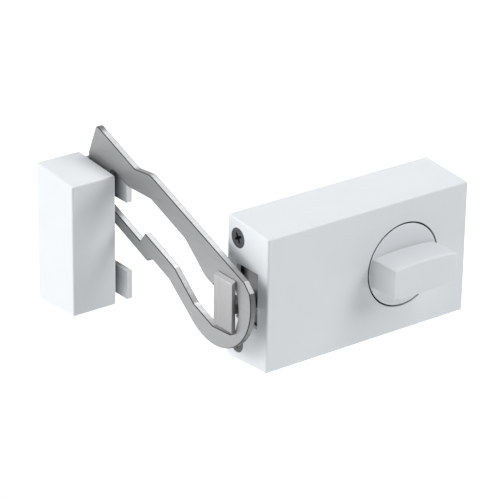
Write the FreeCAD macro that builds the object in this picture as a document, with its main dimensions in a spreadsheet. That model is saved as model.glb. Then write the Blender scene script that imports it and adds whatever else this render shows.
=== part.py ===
import FreeCAD, Part
import math
import os
import Sketcher

# Rim lock with a limiter bar, in the pose where the bar holds the door ajar.
#
# The strike box stands on the door frame and carries the bar on a pivot.
# The lock case stands on the door, and its bolt head is hooked in the bar's slot.
# X runs from the strike towards the lock case, Y goes into the door, Z is up.
# The origin is the middle of the strike's two screw holes, on its back face.
# All sizes are millimetres and degrees.

SIZES = {
    # Box form shared by the lock case and the strike
    "box_depth": 28.0,
    "front_height": 62.4,
    "back_height": 66.8,
    "cover_wall": 2.0,
    "edge_round": 0.8,
    "inner_clearance": 0.1,
    # Lock case
    "case_length": 110.0,
    "unit_gap": 13.2,
    "bolt_from_pivot": 96.9,
    "base_thickness": 2.0,
    "base_clearance": 0.5,
    "ear_depth": 9.6,
    "ear_below_screw": 7.4,
    "door_hole_radius": 2.75,
    "door_hole_span": 82.0,
    "door_hole_rise": 42.0,
    "tail_hole_radius": 6.0,
    # Countersunk screws
    "screw_head_radius": 4.6,
    "screw_shank_radius": 2.6,
    "screw_length": 9.0,
    "screw_from_back": 6.8,
    "screw_rim": 8.8,
    # Bolt
    "bolt_depth": 14.2,
    "bolt_width": 13.0,
    "bolt_height": 25.0,
    "head_thickness": 2.0,
    "head_bevel": 1.2,
    "head_clearance": 0.25,
    "neck_height": 4.6,
    "neck_width": 7.6,
    "neck_drop": 0.7,
    "block_start": 3.0,
    "block_length": 38.0,
    "tail_thickness": 6.0,
    "tail_margin": 2.2,
    "window_half": 18.5,
    "slot_clearance": 0.9,
    # Bolt guide and its rivets
    "guide_start": 5.0,
    "guide_length": 16.0,
    "guide_half_height": 16.8,
    "guide_front": 5.0,
    "guide_clearance": 0.15,
    "rivet_radius": 1.5,
    "rivet_head_radius": 2.3,
    "rivet_height": 14.9,
    "rivet_length": 8.0,
    # Rack and pinion
    "gear_module": 1.0,
    "pinion_teeth": 8,
    "pinion_shift": 0.54,
    "rack_tip": 1.0,
    "rack_root": 1.25,
    "pinion_tip": 0.9,
    "pressure_angle": 20.0,
    "gear_backlash": 0.14,
    "rack_teeth": 11,
    "rack_back": 3.2,
    "rack_stud_radius": 1.5,
    "rack_stud_offset": 12.0,
    "pinion_clearance": 0.2,
    # Knob and spindle
    "knob_reach": 74.3,
    "knob_height": 0.6,
    "knob_radius": 19.4,
    "knob_gap": 0.45,
    "knob_back_clearance": 0.3,
    "flange_radius": 21.4,
    "flange_thickness": 1.6,
    "hub_radius": 6.5,
    "hub_length": 6.6,
    "grip_length": 35.4,
    "grip_end_height": 13.0,
    "grip_mid_height": 15.2,
    "grip_end_bulge": 0.8,
    "grip_reach": 15.2,
    "grip_corner_round": 1.4,
    "grip_front_edge": 0.7,
    "spindle_radius": 2.5,
    "spindle_start": 3.5,
    "spindle_end": 25.4,
    "running_clearance": 0.05,
    "bearing_radius": 6.0,
    "bearing_front": 18.6,
    "bearing_foot_half": 9.0,
    "bearing_foot_thickness": 2.0,
    "knob_pin_radius": 1.0,
    "knob_pin_depth": 8.0,
    "clip_radius": 4.4,
    "clip_thickness": 0.8,
    # Strike box
    "strike_width": 22.7,
    "strike_clearance": 0.3,
    "plate_thickness": 2.8,
    "bend_radius": 1.0,
    "tab_gap": 5.9,
    "tab_inner_height": 16.7,
    "lower_bridge_height": 23.0,
    "frame_hole_radius": 2.75,
    "frame_hole_spacing": 40.0,
    "strike_ear_width": 12.0,
    "strike_ear_depth": 16.0,
    "strike_ear_height": 26.5,
    "strike_ear_thickness": 2.5,
    "strike_screw_depth": 10.0,
    "strike_screw_recess": 0.4,
    # Bar pivot
    "pivot_clearance": 0.8,
    "pivot_height": 22.2,
    "pin_radius": 2.5,
    "pin_head_radius": 4.5,
    "pin_head_thickness": 1.9,
    "pin_head_clearance": 0.3,
    "bush_radius": 3.6,
    "washer_radius": 6.0,
    "washer_clearance": 0.02,
    "pin_tail": 2.2,
    "pin_clip_radius": 4.6,
    "pin_clip_thickness": 1.0,
    # Bar outline, from the pivot: along the bar towards the lock, and across it
    "bar_angle": 20.2,
    "bar_start": 2.5,
    "bar_thickness": 3.0,
    "bar_root_left": 10.1,
    "bar_root_top": 24.3,
    "bar_root_bottom": 10.5,
    "bar_heel_left": 10.8,
    "bar_heel_top": 7.6,
    "bar_toe_left": 5.6,
    "bar_toe_bottom": 5.0,
    "bar_toe_radius": 7.52,
    "bar_sole_right": 2.0,
    "bar_sole_bottom": 7.25,
    "bar_sole_end": 6.5,
    "bar_crank_start": 21.5,
    "bar_crank_end": 32.0,
    "bar_top": 29.4,
    "lobe_along": 88.94,
    "lobe_up": 11.68,
    "lobe_radius": 26.03,
    "lobe_foot_angle": 110.5,
    "lobe_facet": 2.9,
    "bar_waist_start": 60.4,
    "bar_waist_end": 47.3,
    "bar_waist_bottom": 6.9,
    "bar_bump_end": 44.2,
    # Slot outline, from the pivot
    "slot_left": 6.7,
    "slot_root_top": 12.9,
    "slot_root_bottom": 5.1,
    "slot_crank_start": 19.5,
    "slot_crank_end": 36.5,
    "slot_mid_top": 19.3,
    "slot_mid_bottom": 0.8,
    "slot_step_start": 36.6,
    "slot_step_end": 38.5,
    "slot_drop_start": 63.5,
    "slot_drop_end": 81.5,
    "slot_ledge_top": 13.1,
    "slot_ledge_end": 87.6,
    "slot_low_drop_start": 62.0,
    "slot_low_drop_end": 79.5,
    "slot_low_end": 94.2,
    "pocket_start": 92.3,
    "pocket_start_top": 23.0,
    "pocket_peak": 98.6,
    "pocket_top": 24.5,
    "pocket_right": 107.9,
    "pocket_right_top": 7.2,
    "pocket_radius": 21.0,
    "pocket_right_low": 2.6,
    "pocket_foot": 105.8,
    "pocket_foot_up": 0.1,
    # Corner radii of the bar
    "peak_round": 1.6,
    "crank_round": 6.0,
    "bump_round": 2.0,
    "slot_round": 2.6,
    "slot_crank_round": 5.0,
    "pocket_round": 1.6,
}


class Size:
    """A number kept together with the sheet expression that gives it."""

    def __init__(self, value, text):
        self.value = value
        self.text = text

    def join(self, other, sign, value):
        text = other.text if isinstance(other, Size) else repr(float(other))
        return Size(value, "(" + self.text + " " + sign + " " + text + ")")

    def __add__(self, other):
        return self.join(other, "+", self.value + plain(other))

    def __sub__(self, other):
        return self.join(other, "-", self.value - plain(other))

    def __mul__(self, other):
        return self.join(other, "*", self.value * plain(other))

    def __truediv__(self, other):
        return self.join(other, "/", self.value / plain(other))

    def __neg__(self):
        return self * -1.0

    def least(self, other):
        return Size(min(self.value, other.value), "min(" + self.text + "; " + other.text + ")")

    def root(self):
        return Size(math.sqrt(self.value), "sqrt(" + self.text + ")")

    def cosine(self):
        return Size(math.cos(math.radians(self.value)), "cos(" + self.text + ")")

    def sine(self):
        return Size(math.sin(math.radians(self.value)), "sin(" + self.text + ")")


def plain(value):
    """The plain number of a size or of a number."""
    return value.value if isinstance(value, Size) else float(value)


def make_sheet():
    """Write every driving dimension to the sheet under its own alias."""
    sheet = doc.addObject("Spreadsheet::Sheet", "Sizes")
    for row, (name, value) in enumerate(SIZES.items(), start=1):
        cell = "B" + str(row)
        sheet.set("A" + str(row), name)
        sheet.set(cell, str(value))
        sheet.setAlias(cell, name)
    doc.recompute()
    return sheet


def size(name):
    """The driving dimension of that name."""
    return Size(float(sheet.get(name)), "Sizes." + name)


def bind(obj, prop, value):
    """Bind a property to the sheet."""
    obj.setExpression(prop, value.text)


def place(obj, x, y, z):
    """Bind where an object stands."""
    for axis, value in zip("xyz", (x, y, z)):
        bind(obj, "Placement.Base." + axis, value)


def turn(obj, axis, angle):
    """Turn an object about one of its own axes by a fixed angle."""
    obj.Placement.Rotation = FreeCAD.Rotation(FreeCAD.Vector(*axis), angle)


doc = FreeCAD.newDocument("rim_lock")
nodes = []
sheet = make_sheet()
ZERO = Size(0.0, "0.0")

# Values that several pieces share

depth = size("box_depth")
wall = size("cover_wall")
gap = size("inner_clearance")
half_front = size("front_height") / 2
half_back = size("back_height") / 2
draft = (half_back - half_front) / depth
half_strike = size("strike_width") / 2
length = size("case_length")

strike_origin = (ZERO, ZERO, ZERO)
pivot_y = -(size("plate_thickness") + size("bend_radius") + size("washer_radius") + size("pivot_clearance"))
pivot_z = size("pivot_height")
bolt_y = size("bolt_depth")
case_origin = (half_strike + size("unit_gap"), pivot_y - size("bolt_from_pivot") - bolt_y, ZERO)
bar_left = half_strike + size("bar_start")
tab_left = half_strike + size("tab_gap")
tab_right = tab_left + size("plate_thickness")
pivot_origin = (bar_left, pivot_y, pivot_z)

half_bolt_width = size("bolt_width") / 2
half_bolt_height = size("bolt_height") / 2
guide_middle = size("guide_start") + size("guide_length") / 2
knob_x = size("knob_reach")
knob_z = size("knob_height")
pitch_radius = size("gear_module") * size("pinion_teeth") / 2
rack_line = pitch_radius + size("pinion_shift")
rack_bottom = rack_line + size("rack_root") + size("rack_back")
tip_radius = rack_line + size("pinion_tip")
screw_y = depth - size("screw_from_back")
screw_height = half_back - size("screw_rim")
strike_reach = (half_front - size("edge_round")).least(half_back - wall - size("strike_clearance"))
head_sink = size("screw_head_radius") - size("screw_shank_radius")


# Primitives and booleans

def box(name, low, high):
    """A box between two corners."""
    piece = doc.addObject("Part::Box", name)
    for prop, start, stop in zip(("Length", "Width", "Height"), low, high):
        bind(piece, prop, stop - start)
    place(piece, *low)
    return piece


def lay(piece, axis, start, u, v):
    """Lay a round primitive along X, Y or Z. u and v are its other coordinates, in X, Y, Z order."""
    if axis == "x":
        turn(piece, (0, 1, 0), 90)
        place(piece, start, u, v)
    elif axis == "y":
        turn(piece, (1, 0, 0), -90)
        place(piece, u, start, v)
    else:
        place(piece, u, v, start)
    return piece


def rod(name, axis, start, stop, radius, u, v):
    """A cylinder along an axis."""
    piece = doc.addObject("Part::Cylinder", name)
    bind(piece, "Radius", radius)
    bind(piece, "Height", stop - start)
    return lay(piece, axis, start, u, v)


def taper(name, axis, start, stop, first, last, u, v):
    """A cone along an axis, from its first to its last radius."""
    piece = doc.addObject("Part::Cone", name)
    bind(piece, "Radius1", first)
    bind(piece, "Radius2", last)
    bind(piece, "Height", stop - start)
    return lay(piece, axis, start, u, v)


def fuse(name, pieces):
    """One solid from several."""
    joined = doc.addObject("Part::MultiFuse", name)
    joined.Shapes = pieces
    joined.Refine = True
    return joined


def cut(name, base, tools):
    """Take one or more tools from a base."""
    result = doc.addObject("Part::Cut", name)
    result.Base = base
    result.Tool = tools[0] if len(tools) == 1 else fuse(name + "_tools", tools)
    result.Refine = True
    return result


def node(piece, label, origin=None):
    """Name a finished sub-part. A piece drawn about its unit's own origin is stood in place."""
    piece.Label = label
    if origin is not None:
        place(piece, *origin)
    nodes.append(piece)


def inward_span(face, inward, near, far):
    """The stretch from near to far under a face, in rising order."""
    if inward > 0:
        return face + near, face + far
    return face - far, face - near


# Sketched pieces

def new_sketch(body, name, role):
    """A sketch on one of the body's own origin planes."""
    sketch = body.newObject("Sketcher::SketchObject", name)
    plane = [item for item in body.Origin.OriginFeatures if item.Role == role][0]
    sketch.AttachmentSupport = [(plane, "")]
    sketch.MapMode = "FlatFace"
    return sketch


def hold(sketch, kind, geometry, end, value):
    """Hold one coordinate of a point at a sheet value."""
    index = sketch.addConstraint(Sketcher.Constraint(kind, -1, 1, geometry, end, plain(value)))
    bind(sketch, "Constraints[" + str(index) + "]", value)


def arc_between(first, last, radius):
    """The shorter arc of that radius between two points, bulging to the right of the chord."""
    chord = last - first
    right = FreeCAD.Vector(chord.y, -chord.x, 0).normalize()
    rise = radius - math.sqrt(radius ** 2 - (chord.Length / 2) ** 2)
    return Part.Arc(first, (first + last) * 0.5 + right * rise, last)


def draw_loop(sketch, points, arcs):
    """Draw a closed outline of lines and arcs, with its corners held by the sheet.

    arcs gives the radius of each side that is round, by the number of its first point,
    and whether it bulges outwards. The points run anticlockwise.
    """
    first_index = len(sketch.Geometry)
    count = len(points)
    corners = [FreeCAD.Vector(plain(x), plain(y), 0) for x, y in points]
    ends = []
    for number in range(count):
        start = corners[number]
        stop = corners[(number + 1) % count]
        radius, outwards = arcs.get(number, (None, True))
        if radius is None:
            sketch.addGeometry(Part.LineSegment(start, stop), False)
        elif outwards:
            sketch.addGeometry(arc_between(start, stop, plain(radius)), False)
        else:
            sketch.addGeometry(arc_between(stop, start, plain(radius)), False)
        ends.append((1, 2) if outwards else (2, 1))
    for number in range(count):
        here = first_index + number
        following = (number + 1) % count
        sketch.addConstraint(Sketcher.Constraint(
            "Coincident", here, ends[number][1], first_index + following, ends[following][0]))
        hold(sketch, "DistanceX", here, ends[number][0], points[number][0])
        hold(sketch, "DistanceY", here, ends[number][0], points[number][1])
    for number, (radius, _) in arcs.items():
        index = sketch.addConstraint(
            Sketcher.Constraint("Radius", first_index + number, plain(radius)))
        bind(sketch, "Constraints[" + str(index) + "]", radius)


def draw_circle(sketch, radius, x, y):
    """Draw a circle held by the sheet."""
    centre = FreeCAD.Vector(plain(x), plain(y), 0)
    number = sketch.addGeometry(Part.Circle(centre, FreeCAD.Vector(0, 0, 1), plain(radius)), False)
    hold(sketch, "DistanceX", number, 3, x)
    hold(sketch, "DistanceY", number, 3, y)
    index = sketch.addConstraint(Sketcher.Constraint("Radius", number, plain(radius)))
    bind(sketch, "Constraints[" + str(index) + "]", radius)


def pad(body, sketch, name, height, backwards=False):
    """Raise a sketch off its plane."""
    feature = body.newObject("PartDesign::Pad", name)
    feature.Profile = sketch
    feature.Reversed = backwards
    bind(feature, "Length", height)
    body.Tip = feature
    return feature


def soften_edges(body, base, kind, name, reach, wanted):
    """Put a fillet or a chamfer on the edges of a feature that a test picks."""
    doc.recompute()
    names = [
        "Edge" + str(number)
        for number, edge in enumerate(base.Shape.Edges, start=1)
        if wanted(edge)
    ]
    feature = body.newObject("PartDesign::" + kind, name)
    feature.Base = (base, names)
    bind(feature, "Radius" if kind == "Fillet" else "Size", reach)
    body.Tip = feature
    return feature


def ends_of(edge):
    """The end points of an edge."""
    return [vertex.Point for vertex in edge.Vertexes]


def on_corner(points):
    """A test for the edges along X that stand on one of an outline's points."""
    spots = [(plain(y), plain(z)) for y, z in points]

    def wanted(edge):
        ends = ends_of(edge)
        if len(ends) != 2 or abs(ends[0].x - ends[1].x) < 1e-3:
            return False
        return any(math.hypot(ends[0].y - y, ends[0].z - z) < 0.02 for y, z in spots)

    return wanted


# Drafted boxes, whose top and bottom faces spread towards the back

def drafted_box(name, low, high, front, back):
    """A box with a draft and soft edges, between two X values and two Y values."""
    body = doc.addObject("PartDesign::Body", name)
    sketch = new_sketch(body, name + "_side", "YZ_Plane")
    outline = [(front, -half_front), (back, -half_back), (back, half_back), (front, half_front)]
    draw_loop(sketch, outline, {})
    block = pad(body, sketch, name + "_block", high - low)
    rim = plain(back)

    def wanted(edge):
        return any(abs(end.y - rim) > 1e-6 for end in ends_of(edge))

    soften_edges(body, block, "Fillet", name + "_edges", size("edge_round"), wanted)
    place(body, low, ZERO, ZERO)
    return body


def drafted_room(name, low, high, front, back):
    """The room inside a drafted box, open at the back."""
    room = doc.addObject("Part::Wedge", name)
    half_start = half_front + draft * wall - wall
    half_stop = half_back + draft * wall - wall
    bind(room, "Ymin", front + wall)
    bind(room, "Ymax", back + wall)
    for prop in ("Xmin", "X2min"):
        bind(room, prop, low + wall)
    for prop in ("Xmax", "X2max"):
        bind(room, prop, high - wall)
    bind(room, "Zmin", -half_start)
    bind(room, "Zmax", half_start)
    bind(room, "Z2min", -half_stop)
    bind(room, "Z2max", half_stop)
    return room


# Screws

def sunk_hole(name, axis, face, inward, u, v):
    """A countersunk hole from an outer face through the cover's wall."""
    sink = inward_span(face, inward, ZERO, head_sink)
    bore = inward_span(face, inward, ZERO, wall * 2)
    radii = [size("screw_head_radius"), size("screw_shank_radius")][::inward]
    return [
        taper(name + "_sink", axis, sink[0], sink[1], radii[0], radii[1], u, v),
        rod(name + "_bore", axis, bore[0], bore[1], size("screw_shank_radius"), u, v),
    ]


def build_screw(label, origin, axis, face, inward, u, v):
    """A countersunk screw, its head flush with the face."""
    sink = inward_span(face, inward, ZERO, head_sink)
    shank = inward_span(face, inward, head_sink, size("screw_length"))
    radii = [size("screw_head_radius"), size("screw_shank_radius")][::inward]
    head = taper(label + "_head", axis, sink[0], sink[1], radii[0], radii[1], u, v)
    stem = rod(label + "_stem", axis, shank[0], shank[1], size("screw_shank_radius"), u, v)
    node(fuse(label + "_piece", [head, stem]), label, origin)


def rivet_shape(name, axis, face, inward, u, v, reach):
    """A rivet, its sunk head flush with a face. The same form cuts its hole."""
    sink = inward_span(face, inward, ZERO, size("rivet_head_radius") - size("rivet_radius"))
    stem = inward_span(face, inward, ZERO, reach)
    radii = [size("rivet_head_radius"), size("rivet_radius")][::inward]
    return fuse(name, [
        taper(name + "_head", axis, sink[0], sink[1], radii[0], radii[1], u, v),
        rod(name + "_stem", axis, stem[0], stem[1], size("rivet_radius"), u, v),
    ])


def guide_rivets():
    """Name and height of the two rivets that hold the bolt guide."""
    return ("upper", size("rivet_height")), ("lower", -size("rivet_height"))


def guide_rivet_shape(name, height):
    """A guide rivet, from the base plate's back face into the guide."""
    return rivet_shape(name, "y", depth, -1, guide_middle, height, size("rivet_length"))


def case_screws():
    """Name, face, direction and height of the case's four screws."""
    for side, face, inward in (("left", ZERO, 1), ("right", length, -1)):
        for level, sign in (("upper", 1.0), ("lower", -1.0)):
            yield side + "_" + level, face, inward, screw_height * sign


# Lock case

def build_case_cover():
    """The white cover, with the bolt's slot, the knob's hole and four sunk screw holes."""
    slack = size("slot_clearance")
    tools = [
        drafted_room("case_room", ZERO, length, ZERO, depth),
        box("bolt_slot",
            (-wall, bolt_y - half_bolt_width - slack, -(half_bolt_height + slack / 2)),
            (wall * 2, bolt_y + half_bolt_width + slack, half_bolt_height + slack / 2)),
        rod("knob_hole", "y", -wall, wall * 2, size("knob_radius") + size("knob_gap"), knob_x, knob_z),
    ]
    for name, face, inward, height in case_screws():
        tools += sunk_hole("case_" + name, "x", face, inward, screw_y, height)
    outer = drafted_box("case_box", ZERO, length, ZERO, depth)
    node(cut("case_shell", outer, tools), "case_cover", case_origin)


def build_base_plate():
    """The plate on the door, with two pairs of ears that take the cover's screws."""
    front = depth - size("base_thickness")
    low = wall + gap
    high = length - wall - gap
    half_ear_front = half_front + draft * (front - size("ear_depth"))
    reach = half_ear_front.least(half_back) - wall - size("base_clearance")
    inner = screw_height - size("ear_below_screw")
    pieces = [box("base_sheet", (low, front, -reach), (high, depth, reach))]
    for side, start, stop in (
        ("left", low, low + size("base_thickness")),
        ("right", high - size("base_thickness"), high),
    ):
        for level, bottom, top in (("upper", inner, reach), ("lower", -reach, -inner)):
            pieces.append(box("base_ear_" + side + "_" + level,
                              (start, front - size("ear_depth"), bottom), (stop, depth, top)))
    holes = []
    for name, face, inward, height in case_screws():
        start, stop = inward_span(face, inward, wall, wall + size("base_thickness") * 2)
        holes.append(rod("base_tap_" + name, "x", start, stop,
                         size("screw_shank_radius"), screw_y, height))
    for across in (-0.5, 0.5):
        for level in (-0.5, 0.5):
            holes.append(rod("door_hole", "y", front - wall, depth + wall, size("door_hole_radius"),
                             length / 2 + size("door_hole_span") * across,
                             size("door_hole_rise") * level))
    holes.append(rod("tail_hole", "y", front - wall, depth + wall,
                     size("tail_hole_radius"), knob_x, knob_z))
    for level, height in guide_rivets():
        holes.append(guide_rivet_shape("base_rivet_hole_" + level, height))
    node(cut("base_plate_sheet", fuse("base_blank", pieces), holes), "base_plate", case_origin)


def build_bolt_guide():
    """The frame behind the slot that the bolt slides in, and its two rivets."""
    back = depth - size("base_thickness")
    slack = size("guide_clearance")
    start = size("guide_start")
    stop = start + size("guide_length")
    reach = size("guide_half_height")
    block = box("guide_block", (start, size("guide_front"), -reach), (stop, back, reach))
    tools = [box("guide_window",
                 (start - wall, bolt_y - half_bolt_width - slack, -(half_bolt_height + slack)),
                 (stop + wall, bolt_y + half_bolt_width + slack, half_bolt_height + slack))]
    for level, height in guide_rivets():
        tools.append(guide_rivet_shape("guide_rivet_hole_" + level, height))
        node(guide_rivet_shape("guide_rivet_piece_" + level, height), "guide_rivet_" + level, case_origin)
    node(cut("guide_frame", block, tools), "bolt_guide", case_origin)


def build_spindle_bearing():
    """The flanged bush on the base plate that carries the spindle's inner end."""
    back = depth - size("base_thickness")
    sleeve = rod("bearing_sleeve", "y", size("bearing_front"), back, size("bearing_radius"), knob_x, knob_z)
    half_foot = size("bearing_foot_half")
    foot = box("bearing_foot",
               (knob_x - half_foot, back - size("bearing_foot_thickness"), knob_z - half_foot),
               (knob_x + half_foot, back, knob_z + half_foot))
    bore = rod("bearing_bore", "y", size("bearing_front") - wall, depth,
               size("spindle_radius") + size("running_clearance"), knob_x, knob_z)
    node(cut("bearing_bush", fuse("bearing_blank", [sleeve, foot]), [bore]), "spindle_bearing", case_origin)


# Bolt, which slides along X

def build_bolt():
    """Hooked head, neck, guided block, and a tail with a window for the pinion."""
    head_right = bar_left - size("head_clearance") - case_origin[0]
    head_left = head_right - size("head_thickness")
    front = bolt_y - half_bolt_width
    back = bolt_y + half_bolt_width
    block_end = size("block_start") + size("block_length")
    half_window = size("window_half")
    tail_end = knob_x + half_window + size("tail_margin")
    half_tail = size("tail_thickness") / 2
    head = head_with_bevels(head_left, head_right, front, back)
    neck_middle = -size("neck_drop")
    half_neck = size("neck_height") / 2
    neck = box("bolt_neck", (head_right - size("head_thickness") / 2, front, neck_middle - half_neck),
               (size("block_start") + wall, front + size("neck_width"), neck_middle + half_neck))
    block = box("bolt_block", (size("block_start"), front, -half_bolt_height),
                (block_end, back, half_bolt_height))
    tail = box("bolt_tail", (block_end - wall, bolt_y - half_tail, -half_bolt_height),
               (tail_end, bolt_y + half_tail, half_bolt_height))
    window_top = knob_z + tip_radius + size("rack_back") / 2
    window = box("bolt_window",
                 (knob_x - half_window, bolt_y - half_tail - wall, knob_z - rack_bottom),
                 (knob_x + half_window, bolt_y + half_tail + wall, window_top))
    tools = [window]
    for name, side in (("front", -1.0), ("rear", 1.0)):
        tools.append(rod("rack_stud_hole_" + name, "z",
                         -(half_bolt_height + wall), knob_z - rack_bottom + wall,
                         size("rack_stud_radius"), knob_x + size("rack_stud_offset") * side, bolt_y))
    node(cut("bolt_piece", fuse("bolt_blank", [head, neck, block, tail]), tools), "bolt", case_origin)


def head_with_bevels(left, right, front, back):
    """The bolt's head, a plate with its outer top and bottom edges bevelled."""
    bevel = size("head_bevel")
    thickness = right - left
    plate = doc.addObject("Part::Wedge", "bolt_head")
    bind(plate, "Ymin", ZERO)
    bind(plate, "Ymax", thickness)
    bind(plate, "Xmin", -(half_bolt_height - bevel))
    bind(plate, "Xmax", half_bolt_height - bevel)
    bind(plate, "X2min", -half_bolt_height)
    bind(plate, "X2max", half_bolt_height)
    for prop in ("Zmin", "Z2min"):
        bind(plate, prop, front)
    for prop in ("Zmax", "Z2max"):
        bind(plate, prop, back)
    plate.Placement.Rotation = FreeCAD.Rotation(
        FreeCAD.Vector(0, 0, 1), FreeCAD.Vector(1, 0, 0), FreeCAD.Vector(0, 1, 0), "ZXY")
    place(plate, left, ZERO, ZERO)
    return plate


def finished_feature(name, label, shape, x, y, z):
    """A sub-part whose solid comes from a formula."""
    piece = doc.addObject("Part::Feature", name)
    piece.Shape = shape
    node(piece, label, (x, y, z))


def build_rack():
    """A straight rack along X, with two studs below that are staked in the bolt's tail.

    Its teeth point up and its reference line is at Z 0.
    """
    pitch = plain(size("gear_module")) * math.pi
    tip = plain(size("rack_tip"))
    root = plain(size("rack_root"))
    lean = math.tan(math.radians(plain(size("pressure_angle"))))
    half_tooth = pitch / 4 - plain(size("gear_backlash")) / 2
    teeth = int(plain(size("rack_teeth")))
    width = plain(size("tail_thickness"))
    half = pitch * teeth / 2
    points = [FreeCAD.Vector(-half, 0, plain(rack_line - rack_bottom))]
    for number in range(teeth):
        middle = (number - (teeth - 1) / 2) * pitch
        for side, rise in ((-1, -root), (-1, tip), (1, tip), (1, -root)):
            half_width = half_tooth - rise * lean
            points.append(FreeCAD.Vector(middle + side * half_width, 0, rise))
    points.insert(1, FreeCAD.Vector(-half, 0, -root))
    points.append(FreeCAD.Vector(half, 0, -root))
    points.append(FreeCAD.Vector(half, 0, plain(rack_line - rack_bottom)))
    outline = Part.makePolygon(points + [points[0]])
    solid = Part.Face(outline).extrude(FreeCAD.Vector(0, width, 0))
    for side in (-1, 1):
        foot = FreeCAD.Vector(side * plain(size("rack_stud_offset")), width / 2,
                              plain(rack_line - knob_z - half_bolt_height))
        solid = solid.fuse(Part.makeCylinder(plain(size("rack_stud_radius")),
                                             plain(half_bolt_height + knob_z - rack_bottom), foot))
    finished_feature("rack_piece", "bolt_rack", solid, case_origin[0] + knob_x,
                     case_origin[1] + bolt_y - size("tail_thickness") / 2, knob_z - rack_line)


def involute(base, radius, offset, turned):
    """The point of an involute of a base circle at a radius, mirrored when turned is -1."""
    roll = math.acos(min(1.0, base / radius))
    angle = turned * (math.tan(roll) - roll) + offset
    return FreeCAD.Vector(radius * math.cos(angle), 0, radius * math.sin(angle))


def build_pinion():
    """A pinion on the Y axis with a tooth space straight below the axis.

    Each flank is the arc through three points of its involute.
    """
    module = plain(size("gear_module"))
    teeth = int(plain(size("pinion_teeth")))
    slope = math.radians(plain(size("pressure_angle")))
    shift = plain(size("pinion_shift"))
    pitch = module * teeth / 2
    base = pitch * math.cos(slope)
    root = plain(rack_line - size("rack_root"))
    tip = plain(tip_radius)
    width = plain(size("tail_thickness") - size("pinion_clearance") * 2)
    thickness = module * math.pi / 2 + 2 * shift * math.tan(slope) - plain(size("gear_backlash"))
    half_angle = thickness / (2 * pitch) + math.tan(slope) - slope
    radii = [base, (base + tip) / 2, tip]
    edges = []
    last = None
    for number in range(teeth):
        centre = -math.pi / 2 + (number + 0.5) * 2 * math.pi / teeth
        rising = [involute(base, radius, centre - half_angle, 1) for radius in radii]
        falling = [involute(base, radius, centre + half_angle, -1) for radius in reversed(radii)]
        before, after = centre - half_angle, centre + half_angle
        foot_in = FreeCAD.Vector(root * math.cos(before), 0, root * math.sin(before))
        foot_out = FreeCAD.Vector(root * math.cos(after), 0, root * math.sin(after))
        crown = FreeCAD.Vector(tip * math.cos(centre), 0, tip * math.sin(centre))
        if last is not None:
            edges.append(root_arc(last, foot_in, root))
        else:
            first = foot_in
        edges.append(Part.LineSegment(foot_in, rising[0]).toShape())
        edges.append(Part.Arc(*rising).toShape())
        edges.append(Part.Arc(rising[-1], crown, falling[0]).toShape())
        edges.append(Part.Arc(*falling).toShape())
        edges.append(Part.LineSegment(falling[-1], foot_out).toShape())
        last = foot_out
    edges.append(root_arc(last, first, root))
    face = Part.Face(Part.Wire(edges))
    solid = face.extrude(FreeCAD.Vector(0, width, 0))
    bore = Part.makeCylinder(plain(size("spindle_radius")), width, FreeCAD.Vector(0, 0, 0),
                             FreeCAD.Vector(0, 1, 0))
    start = bolt_y - size("tail_thickness") / 2 + size("pinion_clearance")
    finished_feature("pinion_piece", "pinion", solid.cut(bore), case_origin[0] + knob_x,
                     case_origin[1] + start, knob_z)


def root_arc(first, last, radius):
    """The arc of the root circle between two teeth."""
    middle = (first + last) * 0.5
    return Part.Arc(first, middle.normalize() * radius, last).toShape()


# Knob and spindle, which turn about Y

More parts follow.
